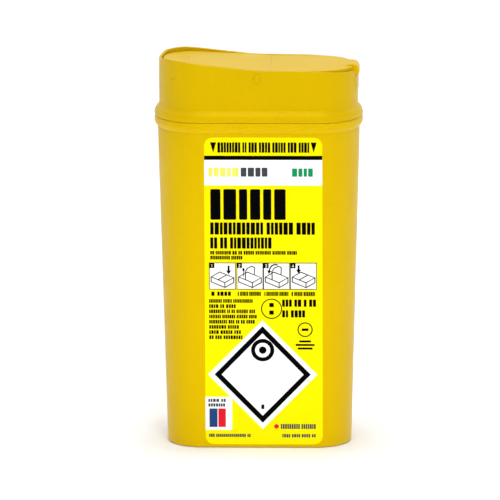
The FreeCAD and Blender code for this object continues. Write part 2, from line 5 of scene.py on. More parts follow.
import bmesh
import bpy
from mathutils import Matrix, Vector


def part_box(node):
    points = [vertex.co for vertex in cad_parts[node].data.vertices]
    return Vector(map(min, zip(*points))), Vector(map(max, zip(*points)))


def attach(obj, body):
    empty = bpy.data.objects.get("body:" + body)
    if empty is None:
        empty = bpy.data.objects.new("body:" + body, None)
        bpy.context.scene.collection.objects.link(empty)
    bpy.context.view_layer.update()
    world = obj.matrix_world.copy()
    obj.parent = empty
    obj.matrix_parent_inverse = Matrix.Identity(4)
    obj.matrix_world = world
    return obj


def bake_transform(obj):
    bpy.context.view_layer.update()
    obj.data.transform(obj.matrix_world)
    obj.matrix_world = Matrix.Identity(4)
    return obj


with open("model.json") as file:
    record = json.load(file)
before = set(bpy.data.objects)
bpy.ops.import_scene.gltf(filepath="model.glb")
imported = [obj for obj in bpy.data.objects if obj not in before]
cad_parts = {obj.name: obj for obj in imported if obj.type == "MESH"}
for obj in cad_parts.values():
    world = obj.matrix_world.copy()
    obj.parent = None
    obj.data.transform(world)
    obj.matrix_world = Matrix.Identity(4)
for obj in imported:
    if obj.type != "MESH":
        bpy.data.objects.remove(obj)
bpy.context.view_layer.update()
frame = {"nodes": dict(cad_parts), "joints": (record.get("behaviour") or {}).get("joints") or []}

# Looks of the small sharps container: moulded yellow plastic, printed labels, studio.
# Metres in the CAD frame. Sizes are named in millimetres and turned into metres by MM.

MM = 0.001
nodes = frame["nodes"]

base_low, base_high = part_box("container_base")
lid_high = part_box("lid")[1]
plate_low, plate_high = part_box("top_plate")
pad_low, pad_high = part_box("press_pad")
pivot = Vector(next(j["pos_m"] for j in frame["joints"] if j["child"] == "flap"))
HALF_STRAIGHT = base_high.x - base_high.y       # centre to each end's centre of curvature

# ---- materials ----


class Material:
    """A node material that is built up one node at a time."""

    def __init__(self, name):
        self.data = bpy.data.materials.new(name)
        self.data.use_nodes = True
        self.tree = self.data.node_tree
        self.tree.nodes.clear()
        self.place = self.add("ShaderNodeTexCoord").outputs["Object"]

    def add(self, kind, inputs=(), **settings):
        """New node; inputs gives a value or another node's output for each named input."""
        node = self.tree.nodes.new(kind)
        for key, value in settings.items():
            setattr(node, key, value)
        for key, value in dict(inputs).items():
            if isinstance(value, bpy.types.NodeSocket):
                self.tree.links.new(value, node.inputs[key])
            else:
                node.inputs[key].default_value = value
        return node

    def math(self, operation, a, b=0.0):
        return self.add("ShaderNodeMath", {0: a, 1: b}, operation=operation).outputs[0]

    def stretched(self, scale):
        """Object coordinates scaled by a different amount along each axis."""
        mapping = self.add("ShaderNodeMapping", {"Vector": self.place, "Scale": scale})
        return mapping.outputs["Vector"]

    def noise(self, scale, detail=2.0, rough=0.5, place=None):
        """Noise with about this many features in a metre."""
        inputs = {"Vector": place or self.place, "Scale": scale, "Detail": detail, "Roughness": rough}
        return self.add("ShaderNodeTexNoise", inputs).outputs[0]

    def remap(self, value, low, high, to_low=0.0, to_high=1.0):
        """Value carried from low..high to to_low..to_high, held at the ends."""
        inputs = {"Value": value, 1: low, 2: high, 3: to_low, 4: to_high}
        return self.add("ShaderNodeMapRange", inputs, clamp=True).outputs[0]

    def mix(self, share, a, b):
        """Colour a where share is 0, b where it is 1."""
        node = self.add("ShaderNodeMix", data_type="RGBA")
        for socket, value in ((node.inputs[0], share), (node.inputs[6], a), (node.inputs[7], b)):
            if isinstance(value, bpy.types.NodeSocket):
                self.tree.links.new(value, socket)
            else:
                socket.default_value = value
        return node.outputs[2]

    def bump(self, height, strength, distance, normal=None):
        inputs = {"Height": height, "Strength": strength, "Distance": distance}
        if normal is not None:
            inputs["Normal"] = normal
        return self.add("ShaderNodeBump", inputs).outputs[0]

    def band(self, height, half):
        """1 at one height of the object, down to 0 at half above and below it."""
        z = self.add("ShaderNodeSeparateXYZ", {0: self.place}).outputs[2]
        away = self.math("ABSOLUTE", self.math("SUBTRACT", z, height))
        return self.remap(away, 0.0, half, 1.0, 0.0)

    def finish(self, inputs):
        shader = self.add("ShaderNodeBsdfPrincipled", inputs)
        self.add("ShaderNodeOutputMaterial", {"Surface": shader.outputs[0]})
        return self.data


def rgb(red, green, blue):
    return (red, green, blue, 1.0)


def brighter(colour, factor):
    return rgb(*(min(1.0, c * factor) for c in colour[:3]))


SCUFF_COLOUR = rgb(0.84, 0.62, 0.07)
GRIME_COLOUR = rgb(0.52, 0.33, 0.02)
PLASTIC_SHEEN = rgb(1.0, 0.74, 0.02)     # yellow face on, pale where it is seen at a grazing angle
FILM_SHEEN = rgb(1.0, 0.9, 0.04)
EDGE_RADIUS = 0.22 * MM


def moulded_plastic(name, colour, grain, roughness, scuff_heights):
    """Satin polypropylene: fine grain, slight mottling and flow streaks, scuffs where it is handled.

    scuff_heights holds (height, half width) of each band that gets handled.
    """
    m = Material(name)
    # colour: slow change of tone, flow streaks up the walls, fine mottling
    tone = m.noise(38.0, 3.0)
    streaks = m.noise(1.0, 3.0, place=m.stretched((420.0, 420.0, 9.0)))
    mottle = m.noise(1100.0, 2.0)
    base = m.mix(m.remap(tone, 0.3, 0.7), brighter(colour, 0.975), brighter(colour, 1.02))
    base = m.mix(m.remap(streaks, 0.35, 0.7, 0.0, 0.5), base, brighter(colour, 0.97))
    base = m.mix(m.remap(mottle, 0.35, 0.65, 0.0, 0.5), base, brighter(colour, 1.03))
    # painted highlight: edges lightened where the rounded normal leaves the flat one
    bevel = m.add("ShaderNodeBevel", {"Radius": EDGE_RADIUS}, samples=4)
    flat = m.add("ShaderNodeNewGeometry").outputs["Normal"]
    turn = m.add("ShaderNodeVectorMath", {0: bevel.outputs[0], 1: flat}, operation="DOT_PRODUCT")
    edge = m.remap(turn.outputs["Value"], 0.97, 0.7)
    # short scratches inside the handled bands, and faint grime
    scratch = m.noise(1.0, 4.0, 0.6, place=m.stretched((700.0, 260.0, 2600.0)))
    scratch = m.remap(scratch, 0.60, 0.68)
    handled = None
    for height, half in scuff_heights:
        band = m.band(height, half)
        handled = band if handled is None else m.math("MAXIMUM", handled, band)
    scuff = m.math("MULTIPLY", scratch, handled)
    base = m.mix(m.math("MULTIPLY", scuff, 0.22), base, SCUFF_COLOUR)
    # painted highlight: rounded edges mixed 30 percent towards a lighter yellow
    base = m.mix(m.math("MULTIPLY", edge, 0.30), base, brighter(colour, 1.12))
    grime = m.remap(m.noise(260.0, 4.0, 0.65), 0.62, 0.78, 0.0, 0.10)
    base = m.mix(grime, base, GRIME_COLOUR)
    # uneven gloss; relief from slight sinking of the walls, mould grain and the scratches
    gloss = m.remap(m.noise(90.0, 3.0), 0.3, 0.7, roughness - 0.04, roughness + 0.05)
    gloss = m.math("ADD", gloss, m.math("MULTIPLY", scuff, 0.18))
    sink = m.bump(m.noise(55.0, 2.0), 0.25, 0.35 * MM, bevel.outputs[0])
    fine = m.bump(m.noise(grain, 3.0, 0.6), 0.16, 0.05 * MM, sink)
    marks = m.bump(scuff, 0.35, 0.03 * MM, fine)
    return m.finish({
        "Base Color": base,
        "Roughness": gloss,
        "Normal": marks,
        "Specular IOR Level": 0.5,
        "Specular Tint": PLASTIC_SHEEN,
        "Subsurface Weight": 0.06,
        "Subsurface Radius": (1.0, 0.6, 0.05),
        "Subsurface Scale": 1.2 * MM,
    })


def label_film(name, colour):
    """Coated film: smooth, with slight unevenness of the wall below and a few small air bubbles."""
    m = Material(name)
    tone = m.remap(m.noise(60.0, 2.0), 0.3, 0.7)
    base = m.mix(tone, brighter(colour, 0.985), colour)
    fleck = m.remap(m.noise(2600.0, 2.0), 0.60, 0.72, 0.0, 0.35)
    base = m.mix(fleck, base, brighter(colour, 0.95))
    # air bubbles under the film, in a few places only
    cells = m.add("ShaderNodeTexVoronoi", {"Vector": m.place, "Scale": 160.0}, feature="F1")
    rare = m.remap(m.noise(34.0, 1.0), 0.62, 0.66)
    bubble = m.math("MULTIPLY", m.remap(cells.outputs["Distance"], 0.12, 0.0), rare)
    wave = m.bump(m.noise(75.0, 2.0), 0.18, 0.25 * MM)
    coat = m.bump(m.noise(1500.0, 2.0), 0.07, 0.02 * MM, wave)
    raised = m.bump(bubble, 0.6, 0.05 * MM, coat)
    return m.finish({
        "Base Color": base,
        "Roughness": m.remap(m.noise(140.0, 2.0), 0.3, 0.7, 0.33, 0.42),
        "Normal": raised,
        "Specular IOR Level": 0.35,
        "Specular Tint": FILM_SHEEN,
    })


def printing_ink(name, colour, thin):
    """Printed ink: slightly uneven cover and gloss. thin is the colour where the cover is weakest."""
    m = Material(name)
    cover = m.remap(m.noise(3200.0, 3.0, 0.6), 0.52, 0.75, 0.0, 0.35)
    base = m.mix(cover, colour, thin)
    base = m.mix(m.remap(m.noise(70.0, 2.0), 0.3, 0.7, 0.0, 0.12), base, thin)
    grain = m.bump(m.noise(2400.0, 2.0), 0.10, 0.01 * MM)
    return m.finish({
        "Base Color": base,
        "Roughness": m.remap(m.noise(400.0, 2.0), 0.3, 0.7, 0.42, 0.55),
        "Normal": grain,
        "Specular IOR Level": 0.03,
    })


YELLOW = rgb(0.735, 0.480, 0.0006)
CREASE_YELLOW = rgb(0.755, 0.500, 0.040)     # bent plastic goes a little pale
FILM_YELLOW = rgb(0.985, 0.855, 0.0012)
MOULD_GRAIN = 2300.0
FINE_GRAIN = 3400.0

# bands that get handled: the foot, the collar and the grip on the tub; bead, rim and tab on the lid
tub_scuffs = [(1.2 * MM, 3.5 * MM), (130.5 * MM, 3.0 * MM), (60.0 * MM, 26.0 * MM)]
lid_scuffs = [(134.0 * MM, 2.6 * MM), (lid_high.z, 5.0 * MM), (plate_high.z, 2.5 * MM)]
tub_plastic = moulded_plastic("tub_polypropylene", YELLOW, MOULD_GRAIN, 0.40, tub_scuffs)
# painted shade: the lid has the tub's yellow, set 5.5 percent darker so that it reads darker than the
# wall below
lid_plastic = moulded_plastic("lid_polypropylene", brighter(YELLOW, 0.945), MOULD_GRAIN, 0.38, lid_scuffs)
closure_yellow = brighter(YELLOW, 1.01)
closure_plastic = moulded_plastic("closure_polypropylene", closure_yellow, FINE_GRAIN, 0.46, lid_scuffs)
crease_plastic = moulded_plastic("crease_polypropylene", CREASE_YELLOW, FINE_GRAIN, 0.46, lid_scuffs)
film = label_film("label_film_yellow", FILM_YELLOW)

for node, finish in (
    ("container_base", tub_plastic),
    ("lid", lid_plastic),
    ("closure_flap", closure_plastic),
    ("press_pad", closure_plastic),
    ("top_plate", closure_plastic),
    ("front_label", film),
    ("back_label", film),
):
    mesh = nodes[node].data
    mesh.materials.clear()
    mesh.materials.append(finish)

# ---- printing ----

INK_ROOT = 0.05 * MM         # how far ink islands reach back into the film
WHITE_HEIGHT = 0.012 * MM    # how far each layer of ink stands out of the film
INK_HEIGHT = 0.026 * MM
TOP_INK_HEIGHT = 0.036 * MM
CURVE_STEP = 0.7 * MM        # ink is cut this finely where the wall curves
CURVE_CUTS = 6
CUT_SNAP = 1e-7
MERGE = 0.001 * MM           # corners of touching islands nearer than this become one
MITRE_LIMIT = 0.25           # keeps the corners of a stroke from growing long
WING = 0.6                   # half an arrowhead's width, as a share of its length


def film_radii(node):
    """Half depth of a label's outer face at its lower and its upper edge."""
    corners = [v.co for v in nodes[node].data.vertices]
    edges = [corner.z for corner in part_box(node)]
    return [max(abs(c.y) for c in corners if abs(c.z - edge) < 0.01 * MM) for edge in edges]


class Film:
    """The curved face of one label: u runs to the right across it, from its middle."""

    def __init__(self, node, side):
        self.low, self.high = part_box(node)
        self.radii = film_radii(node)
        self.side = side
        self.middle = (self.low.x + self.high.x) / 2 * side

    def point(self, u, z, proud):
        """The place that stands proud of the film at one u and height."""
        share = (z - self.low.z) / (self.high.z - self.low.z)
        radius = self.radii[0] + share * (self.radii[1] - self.radii[0])
        x = self.middle + u
        past = max(abs(x) - HALF_STRAIGHT, 0.0)
        depth = math.sqrt(radius ** 2 - past ** 2) + proud
        return Vector((x * self.side, -depth * self.side, z))


def islands_mesh(name, film_face, loops, height, finish):
    """Thin closed islands of ink on a film. Loops hold (u, z) in millimetres."""
    flat = bmesh.new()
    for loop in loops:
        area = sum(a[0] * b[1] - b[0] * a[1] for a, b in zip(loop, loop[1:] + loop[:1]))
        ordered = loop if area > 0 else loop[::-1]
        flat.faces.new([flat.verts.new((u * MM, 0.0, z * MM)) for u, z in ordered])
    bmesh.ops.remove_doubles(flat, verts=flat.verts, dist=MERGE)
    cuts = [HALF_STRAIGHT - film_face.middle + i * CURVE_STEP for i in range(CURVE_CUTS)]
    for u in cuts + [-HALF_STRAIGHT - film_face.middle]:
        geometry = flat.verts[:] + flat.edges[:] + flat.faces[:]
        bmesh.ops.bisect_plane(flat, geom=geometry, dist=CUT_SNAP, plane_co=(u, 0, 0), plane_no=(1, 0, 0))
    flat.verts.index_update()
    count = len(flat.verts)
    points = [film_face.point(v.co.x, v.co.z, height) for v in flat.verts]
    points += [film_face.point(v.co.x, v.co.z, -INK_ROOT) for v in flat.verts]
    faces = []
    for face in flat.faces:
        ring = [v.index for v in face.verts]
        faces.append(ring)
        faces.append([i + count for i in reversed(ring)])
        for corner in face.loops:
            if len(corner.edge.link_faces) == 1:
                a, b = corner.vert.index, corner.link_loop_next.vert.index
                faces.append([b, a, a + count, b + count])
    flat.free()
    mesh = bpy.data.meshes.new(name)
    mesh.from_pydata(points, [], faces)
    mesh.materials.append(finish)
    made = bpy.data.objects.new(name, mesh)
    bpy.context.scene.collection.objects.link(made)
    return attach(made, "container")


def bar(u0, u1, z0, z1):
    return [(u0, z0), (u1, z0), (u1, z1), (u0, z1)]


def soft_bar(u0, u1, z0, z1, corner, steps=4):
    """Bar with rounded corners."""
    loop = []
    centres = ((u1 - corner, z0 + corner, -90), (u1 - corner, z1 - corner, 0),
               (u0 + corner, z1 - corner, 90), (u0 + corner, z0 + corner, 180))
    for u, z, start in centres:
        for i in range(steps + 1):
            turn = math.radians(start + 90.0 * i / steps)
            loop.append((u + corner * math.cos(turn), z + corner * math.sin(turn)))
    return loop


BLOCK_WIDTHS = (0.85, 1.0, 1.0, 1.1, 1.2)
BLOCK_GAP = 0.22
WORD_SPACE = 0.55


def row_of_blocks(u0, u1, z0, z1, words):
    """A line of generic blocks of uneven width, grouped like words, that fills a span."""
    cells = []
    for word in words:
        cells += [random.choice(BLOCK_WIDTHS) for _ in range(word)] + [None]
    cells.pop()
    unit = (u1 - u0) / sum(WORD_SPACE if c is None else c for c in cells)
    corner = min(0.10 * unit, 0.08 * (z1 - z0))
    loops, u = [], u0
    for cell in cells:
        if cell is None:
            u += WORD_SPACE * unit
            continue
        loops.append(soft_bar(u, u + (cell - BLOCK_GAP) * unit, z0, z1, corner, 2))
        u += cell * unit
    return loops


def ring_loops(u, z, outer, inner, steps=40):
    """Quads of a flat ring."""
    loops = []
    for i in range(steps):
        a, b = (math.radians(360.0 * k / steps) for k in (i, i + 1))
        spots = ((inner, a), (outer, a), (outer, b), (inner, b))
        loops.append([(u + r * math.cos(t), z + r * math.sin(t)) for r, t in spots])
    return loops


def disc(u, z, radius, steps=24):
    turns = [math.radians(360.0 * i / steps) for i in range(steps)]
    return [(u + radius * math.cos(t), z + radius * math.sin(t)) for t in turns]


def stroke(points, width, closed=False):
    """Quads of a line of even width, mitred at its corners."""
    count = len(points)
    rails = []
    for i, (u, z) in enumerate(points):
        before = points[i - 1] if i or closed else None
        after = points[(i + 1) % count] if i < count - 1 or closed else None
        ways = []
        for a, b in ((before, (u, z)), ((u, z), after)):
            if a is not None and b is not None:
                size = math.hypot(b[0] - a[0], b[1] - a[1])
                ways.append(((b[0] - a[0]) / size, (b[1] - a[1]) / size))
        du, dz = (sum(w[k] for w in ways) / len(ways) for k in (0, 1))
        reach = width / 2 / max(du * du + dz * dz, MITRE_LIMIT)
        rails.append(((u - dz * reach, z + du * reach), (u + dz * reach, z - du * reach)))
    last = count if closed else count - 1
    loops = []
    for i in range(last):
        a, b = rails[i], rails[(i + 1) % count]
        loops.append([a[1], b[1], b[0], a[0]])
    return loops


def diamond_band(u, z, outer, inner):
    """Four quads between two upright diamonds, each given as (half width, half height)."""
    loops = []
    ways = ((1, 0), (0, 1), (-1, 0), (0, -1))
    for (a, b), (c, d) in zip(ways, ways[1:] + ways[:1]):
        loops.append([
            (u + inner[0] * a, z + inner[1] * b), (u + outer[0] * a, z + outer[1] * b),
            (u + outer[0] * c, z + outer[1] * d), (u + inner[0] * c, z + inner[1] * d),
        ])
    return loops


def arrow(points, width, head):
    """A line with a solid arrowhead at its end."""
    (u0, z0), (u1, z1) = points[-2], points[-1]
    size = math.hypot(u1 - u0, z1 - z0)
    du, dz = (u1 - u0) / size, (z1 - z0) / size
    loops = stroke(points, width)
    wing = head * WING
    tip = (u1 + du * head, z1 + dz * head)
    loops.append([(u1 - dz * wing, z1 + du * wing), (u1 + dz * wing, z1 - du * wing), tip])
    return loops


# one line for each step's number, in a cell of width 1 and height 1
DIGITS = {
    1: [(0.15, 0.75), (0.5, 1.0), (0.5, 0.0)],
    2: [(0.0, 0.9), (0.5, 1.0), (0.9, 0.75), (0.0, 0.0), (1.0, 0.0)],
    3: [(0.0, 1.0), (0.9, 1.0), (0.4, 0.58), (0.95, 0.3), (0.5, 0.0), (0.0, 0.1)],
    4: [(0.7, 0.0), (0.7, 1.0), (0.0, 0.3), (1.0, 0.3)],
}


def digit(number, u, z, width, height, line):
    return stroke([(u + a * width, z + b * height) for a, b in DIGITS[number]], line)


# ---- front label ----
# All measures of the print are in millimetres: u to the right from the label's middle, z up
# from the floor. Where a mark has letters on the real label, blocks stand in for them.

random.seed(17)
front = Film("front_label", 1)
EDGE = (front.high.x - front.low.x) / 2 / MM - 0.05      # full-width print stops just inside the film
black, white, pale, grey, green, red, blue, digits = [], [], [], [], [], [], [], []


def print_rows(rows):
    """Rows of blocks, each given as ink, left, right, bottom, top and the blocks in each word."""
    for ink, u0, u1, z0, z1, words in rows:
        ink += row_of_blocks(u0, u1, z0, z1, words)


# top band between two triangles, fill line, and white panel below it
BAND = (120.4, 124.6)
FILL_LINE = (117.55, 119.2)
PANEL_BOTTOM = 107.2
TRIANGLE_HALF = 1.15
print_rows([(black, -17.9, 18.3, 120.5, 124.6, (8, 2, 3, 4, 5, 3, 4))])
for u in (-19.6, 19.8):
    black.append([(u - TRIANGLE_HALF, BAND[1]), (u, BAND[0]), (u + TRIANGLE_HALF, BAND[1])])
black.append(bar(-EDGE, EDGE, *FILL_LINE))
white.append(bar(-EDGE, EDGE, PANEL_BOTTOM, FILL_LINE[0]))
print_rows([
    (pale, -21.5, -9.2, 110.8, 114.4, (5,)),
    (grey, -8.8, 2.2, 110.8, 114.4, (4,)),
    (green, 11.3, 19.9, 110.8, 114.1, (4,)),
    # heading and the rows under it
    (black, -20.8, 9.9, 93.3, 105.7, (6,)),
    (black, -20.9, 20.6, 87.3, 92.2, (12, 6, 4)),
    (black, -20.9, 3.5, 81.6, 86.1, (2, 2, 11)),
    (black, -20.9, 13.3, 79.15, 80.65, (2, 8, 2, 2, 5, 8, 7, 5)),
    (black, -20.9, -8.2, 77.15, 78.65, (11, 6)),
])

# four steps, each in a square of its own with a plain drawing of a box seen from a corner
STEP_LEFTS = (-21.35, -10.5, 0.0, 10.6)
SQUARE = (10.25, 10.7)
SQUARE_BOTTOM = 65.05
OUTLINE = 0.28
LINE = 0.40
TAB = (1.9, 2.0)             # black corner that the step's number stands in
TAB_INSET = 0.1
DIGIT_SHIFT = (0.6, 0.4)
DIGIT_SIZE = (0.65, 1.15)
DIGIT_LINE = 0.2
BOX_TOP = [(0.7, 5.0), (4.1, 7.0), (9.6, 4.7), (6.1, 2.7)]
BOX_SIDES = [(0.7, 5.0), (0.7, 3.0), (6.1, 0.7), (9.6, 2.7), (9.6, 4.7)]
BOX_CORNER = [(6.1, 2.7), (6.1, 0.7)]
BOX_FOLD = [(3.4, 3.85), (6.85, 5.85)]
RAISED_FLAP = [(3.4, 3.85), (3.3, 7.2), (4.2, 8.6), (5.9, 9.4), (7.0, 8.8), (6.85, 5.85)]
PRESS_RIGHT = [(7.6, 9.6), (7.6, 7.6)]
PRESS_LEFT = [(3.2, 9.8), (3.2, 8.0)]
PRESS_LINE, PRESS_HEAD = 0.75, 1.6
NEEDLE = [(2.6, 7.4), (2.6, 5.2)]
NEEDLE_LINE = 0.32
BARREL = ((2.2, 7.4), (3.0, 8.6))
SWING = [(5.6, 9.9), (4.4, 10.1), (3.2, 9.6), (2.5, 8.4), (2.3, 7.6)]
SWING_LINE, SWING_HEAD = 0.55, 1.4


def shifted(points, u):
    """Points of a step's drawing, moved to the square that starts at u."""
    return [(u + a, SQUARE_BOTTOM + b) for a, b in points]


for step, u in enumerate(STEP_LEFTS, start=1):
    white.append(bar(u, u + SQUARE[0], SQUARE_BOTTOM, SQUARE_BOTTOM + SQUARE[1]))
    black += stroke(shifted([(0, 0), (SQUARE[0], 0), SQUARE, (0, SQUARE[1])], u), OUTLINE, True)
    tab_top = SQUARE_BOTTOM + SQUARE[1] - TAB_INSET
    tab_left = u + TAB_INSET
    black.append(bar(tab_left, tab_left + TAB[0], tab_top - TAB[1], tab_top))
    corner = (tab_left + DIGIT_SHIFT[0], tab_top - TAB[1] + DIGIT_SHIFT[1])
    digits += digit(step, *corner, *DIGIT_SIZE, DIGIT_LINE)
    black += stroke(shifted(BOX_SIDES, u), LINE) + stroke(shifted(BOX_CORNER, u), LINE)
    black += stroke(shifted(BOX_TOP, u), LINE, True)
    if step in (1, 4):
        press = PRESS_RIGHT if step == 1 else PRESS_LEFT
        black += stroke(shifted(BOX_FOLD, u), LINE)
        black += arrow(shifted(press, u), PRESS_LINE, PRESS_HEAD)
    else:
        black += stroke(shifted(RAISED_FLAP, u), LINE)
    if step == 2:
        (left, bottom), (right, top) = shifted(BARREL, u)
        black += stroke(shifted(NEEDLE, u), NEEDLE_LINE)
        black.append(bar(left, right, bottom, top))
    if step == 3:
        black += arrow(shifted(SWING, u), SWING_LINE, SWING_HEAD)

CAPTION = (62.35, 64.05)
print_rows([
    (black, -20.6, -12.6, *CAPTION, (1, 4)),
    (black, -10.2, -1.0, *CAPTION, (1, 6, 8)),
    (black, 0.3, 9.9, *CAPTION, (1, 9, 7)),
    (black, 11.0, 20.4, *CAPTION, (1, 5, 7)),
])

# block of small text, given as each row's right end and words
TEXT_LEFT, TEXT_TOP = -21.5, 61.0
TEXT_PITCH, TEXT_HEIGHT = 2.12, 1.5
TEXT_ROWS = (
    (-4.2, (8, 6, 12)), (-10.8, (4, 2, 4)), (-3.2, (8, 2, 2, 6, 3)), (-2.6, (7, 7, 6, 4)),
    (-3.4, (9, 3, 2, 2, 4)), (-9.6, (7, 5)), (-8.8, (4, 5, 3)), (-8.2, (2, 3, 8)),
)
for row, (end, words) in enumerate(TEXT_ROWS):
    top = TEXT_TOP - TEXT_PITCH * row
    black += row_of_blocks(TEXT_LEFT, end, top - TEXT_HEIGHT, top, words)

# plain ring with two blocks, rows beside it, and a plain ring mark with bars below it
black += ring_loops(3.1, 57.1, 4.15, 3.72)
black.append(soft_bar(2.2, 4.0, 57.8, 59.5, 0.3))
black.append(soft_bar(2.2, 4.0, 54.7, 56.4, 0.3))
print_rows([
    (black, 7.3, 20.9, 57.95, 60.9, (3, 2, 1, 2)),
    (black, 7.3, 16.6, 53.6, 56.5, (2, 4)),
])
black += ring_loops(16.3, 48.6, 3.0, 2.55, 32)
black.append(bar(15.0, 17.6, 48.1, 49.1))
for start, end, top in ((14.0, 18.6, 44.2), (12.6, 20.0, 42.75), (13.4, 19.2, 41.3)):
    black.append(bar(start, end, top - 0.8, top))

# white diamond with a black outline and a neutral ring and dot; half widths and half heights
DIAMOND = (-0.5, 30.2)
OUTLINE_OUTER = (19.0, 19.8)
OUTLINE_INNER = (16.2, 16.9)
WHITE_SIDE, WHITE_UP, WHITE_DOWN = 21.6, 22.2, 22.4
white.append([(DIAMOND[0] - WHITE_SIDE, DIAMOND[1]), (DIAMOND[0], DIAMOND[1] - WHITE_DOWN),
              (DIAMOND[0] + WHITE_SIDE, DIAMOND[1]), (DIAMOND[0], DIAMOND[1] + WHITE_UP)])
black += diamond_band(*DIAMOND, OUTLINE_OUTER, OUTLINE_INNER)
RING_CENTRE = (-0.45, 40.2)
black += ring_loops(*RING_CENTRE, 4.6, 3.0)
black.append(disc(*RING_CENTRE, 1.5))
black.append(soft_bar(-1.05, 0.1, 16.0, 17.9, 0.3))

# plain two-colour swatch on white, and the bottom rows
white.append([(-EDGE, 7.4), (-12.6, 7.4), (-12.6, 20.2), (-13.3, 21.0), (-EDGE, 21.0)])
blue.append(bar(-21.6, -18.4, 8.6, 16.2))
red.append(bar(-18.1, -15.1, 8.6, 16.2))
red.append(disc(4.9, 8.9, 0.95))
print_rows([
    (grey, -22.0, -14.9, 18.9, 20.2, (4, 2)),
    (grey, -22.0, -15.2, 17.0, 18.3, (7,)),
    (grey, -21.8, -5.2, 4.5, 5.8, (3, 15, 2)),
    (grey, 6.6, 20.6, 7.9, 9.9, (9, 7)),
    (grey, 7.2, 20.6, 4.4, 5.8, (4, 4, 4, 2)),
])

white_ink = printing_ink("ink_white", rgb(0.96, 0.96, 0.95), rgb(0.95, 0.94, 0.80))
black_ink = printing_ink("ink_black", rgb(0.0012, 0.0012, 0.0025), rgb(0.008, 0.007, 0.004))
pale_ink = printing_ink("ink_pale_yellow", rgb(0.86, 0.80, 0.10), rgb(0.92, 0.88, 0.45))
grey_ink = printing_ink("ink_grey", rgb(0.050, 0.055, 0.065), rgb(0.11, 0.11, 0.11))
green_ink = printing_ink("ink_green", rgb(0.004, 0.29, 0.10), rgb(0.05, 0.40, 0.18))
red_ink = printing_ink("ink_red", rgb(0.72, 0.006, 0.025), rgb(0.75, 0.08, 0.08))
blue_ink = printing_ink("ink_blue", rgb(0.015, 0.055, 0.19), rgb(0.05, 0.10, 0.24))

for name, loops, height, finish in (
    ("print_white", white, WHITE_HEIGHT, white_ink),
    ("print_black", black, INK_HEIGHT, black_ink),
    ("print_pale", pale, INK_HEIGHT, pale_ink),
    ("print_grey", grey, INK_HEIGHT, grey_ink),
    ("print_green", green, INK_HEIGHT, green_ink),
    ("print_red", red, INK_HEIGHT, red_ink),
    ("print_blue", blue, INK_HEIGHT, blue_ink),
    ("print_digits", digits, TOP_INK_HEIGHT, white_ink),
):
    islands_mesh(name, front, loops, height, finish)

# ---- back label: plain heading, rows and an empty writing panel ----

back = Film("back_label", -1)
back_bottom, back_top = back.low.z / MM, back.high.z / MM
BACK_HALF = 18.5             # half the width that is printed
HEADING = (9.5, 3.5)         # its bottom and top, below the label's top
ROWS_FROM = 12.5
ROWS_PITCH, ROWS_HEIGHT = 2.6, 1.6
back_black = row_of_blocks(-BACK_HALF, 12.5, back_top - HEADING[0], back_top - HEADING[1], (8,))
for row, words in enumerate(((9, 4, 8), (3, 8, 6), (10, 3, 6, 2), (6, 5))):
    top = back_top - ROWS_FROM - ROWS_PITCH * row
    end = 3.0 + 1.55 * sum(words) / 2
    back_black += row_of_blocks(-BACK_HALF, end, top - ROWS_HEIGHT, top, words)

PANEL_ABOVE, PANEL_HEIGHT = 4.0, 32.0
PANEL_CORNER = 1.2
RULE_FROM, RULE_PITCH = 7.0, 7.2
RULE_HALF = 0.12
panel_bottom = back_bottom + PANEL_ABOVE
panel_top = panel_bottom + PANEL_HEIGHT
back_white = [soft_bar(-BACK_HALF, BACK_HALF, panel_bottom, panel_top, PANEL_CORNER)]
for row in range(4):
    z = panel_top - RULE_FROM - RULE_PITCH * row
    back_black.append(bar(-BACK_HALF + 12.0, BACK_HALF - 2.0, z - RULE_HALF, z + RULE_HALF))
    end = -BACK_HALF + 9.5 - row % 2
    back_black += row_of_blocks(-BACK_HALF + 1.5, end, z + 0.4, z + 1.9, (5 + row,))
islands_mesh("back_print_white", back, back_white, WHITE_HEIGHT, white_ink)
islands_mesh("back_print_black", back, back_black, INK_HEIGHT, black_ink)

# ---- small moulded details ----

SHARP_ANGLE = math.radians(35.0)
bead_reach = pad_high.y - 0.35 * MM          # half the width of the pieces along the crease


def lofted(name, sections, finish):
    """Closed skin through rings of points that all have the same number of points."""
    count = len(sections[0])
    points = [p for ring in sections for p in ring]
    faces = []
    for i in range(len(sections) - 1):
        for k in range(count):
            a, b = i * count + k, i * count + (k + 1) % count
            faces.append([a, b, b + count, a + count])
    faces.append(list(range(count))[::-1])
    faces.append([(len(sections) - 1) * count + k for k in range(count)])
    mesh = bpy.data.meshes.new(name)
    mesh.from_pydata(points, [], faces)
    shell = bmesh.new()
    shell.from_mesh(mesh)
    bmesh.ops.recalc_face_normals(shell, faces=shell.faces)
    shell.to_mesh(mesh)
    shell.free()
    mesh.shade_smooth()
    mesh.set_sharp_from_angle(angle=SHARP_ANGLE)
    mesh.materials.append(finish)
    made = bpy.data.objects.new(name, mesh)
    bpy.context.scene.collection.objects.link(made)
    return made


def cross_rings(section, steps, swell_power=None):
    """Rings that carry a section across the closure, along Y.

    The section holds (x from the pivot, z from the closure's top) in millimetres. With a
    swell_power, what stands above the top dies away towards both ends.
    """
    rings = []
    for i in range(steps + 1):
        along = -1 + 2 * i / steps
        swell = 1 if swell_power is None else max(0.0, 1 - abs(along) ** swell_power)
        rings.append([Vector((
            pivot.x + x * MM,
            along * bead_reach,
            pad_high.z + (z * swell if z > 0 else z) * MM,
        )) for x, z in section])
    return rings


# low raised line across the closure, over the gap between the flap and the pad
BEAD_SECTION = (
    (3.90, 0.02), (4.08, 0.06), (4.34, 0.085), (4.60, 0.085), (4.77, 0.06),
    (4.88, 0.01), (4.87, -0.08), (4.65, -0.50), (3.90, -0.30),
)
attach(lofted("crease_bead", cross_rings(BEAD_SECTION, 32, 14), crease_plastic), "flap")

